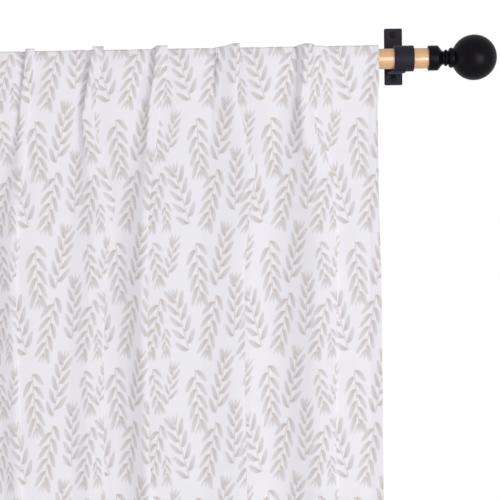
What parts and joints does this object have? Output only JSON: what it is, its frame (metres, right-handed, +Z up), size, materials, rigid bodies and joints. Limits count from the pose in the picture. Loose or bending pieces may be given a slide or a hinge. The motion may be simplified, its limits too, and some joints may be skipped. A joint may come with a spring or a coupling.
{
  "type": "curtain panel on a rod",
  "caption": "Flat printed cotton curtain panel with hidden back tabs on a round wooden pole, held by black wall brackets and finished with black ball finials.",
  "frame": {"origin": "centre of the back face of the right-hand wall plate, where it meets the wall", "axes": "+X along the pole to the right as seen from the room, +Y into the wall, +Z up"},
  "size_m": [1.4578, 0.1512, 2.1685],
  "materials": {
    "printed_cotton": "matt plain weave with a small grey-beige leaf print",
    "pole_wood": "light maple, clear satin lacquer",
    "black_painted_wood": "satin black paint",
    "black_metal": "satin black powder coat"
  },
  "bodies": {
    "root": {"curtain_panel": "printed_cotton", "back_tab_1": "printed_cotton", "back_tab_2": "printed_cotton", "back_tab_3": "printed_cotton", "back_tab_4": "printed_cotton", "back_tab_5": "printed_cotton", "back_tab_6": "printed_cotton", "back_tab_7": "printed_cotton", "back_tab_8": "printed_cotton", "back_tab_9": "printed_cotton", "rod": "pole_wood", "finial_left": "black_painted_wood", "finial_right": "black_painted_wood", "bracket_left": "black_metal", "bracket_right": "black_metal", "screw_left_upper": "black_metal", "screw_left_lower": "black_metal", "screw_right_upper": "black_metal", "screw_right_lower": "black_metal"}
  },
  "joints": []
}
